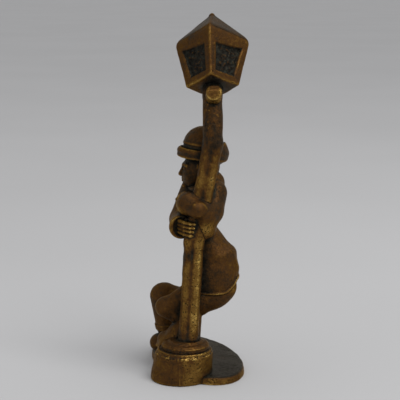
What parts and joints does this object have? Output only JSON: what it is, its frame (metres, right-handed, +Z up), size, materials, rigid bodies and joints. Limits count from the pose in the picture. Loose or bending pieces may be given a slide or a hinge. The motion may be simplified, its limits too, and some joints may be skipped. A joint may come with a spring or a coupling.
{
  "type": "souvenir figurine",
  "caption": "Small cast brass table figurine of a bowler-hatted tippler hugging a crooked street lamp on an oval base with a round plinth.",
  "frame": {"origin": "centre of the oval base's underside, on the table", "axes": "+Z up; the man faces -Y; the lamp post and its plinth stand at the man's left, on +X; the lantern leans over the man towards -X"},
  "size_m": [0.0525, 0.0334, 0.1194],
  "materials": {
    "brass_worn": "cast brass, filed and worn bright, pitted",
    "brass_brown": "cast brass with an even reddish-brown patina, worn on the ridges",
    "brass_dark": "cast brass with a dark grey-brown patina, near black in the hollows"
  },
  "bodies": {
    "root": {"base_plate": "brass_dark", "plinth_drum": "brass_brown", "plinth_collar": "brass_dark", "lamp_post": "brass_worn", "left_ladder_arm": "brass_worn", "right_ladder_arm": "brass_worn", "lantern_body": "brass_brown", "lantern_roof": "brass_dark", "right_shoe": "brass_brown", "left_shoe": "brass_brown", "right_leg": "brass_brown", "left_leg": "brass_brown", "coat": "brass_brown", "coat_collar": "brass_dark", "right_sleeve": "brass_brown", "left_sleeve": "brass_brown", "right_cuff": "brass_brown", "left_cuff": "brass_worn", "right_hand": "brass_worn", "left_hand": "brass_brown", "head": "brass_dark", "hat_brim": "brass_brown", "hat_band": "brass_dark", "hat_crown": "brass_brown"}
  },
  "joints": []
}
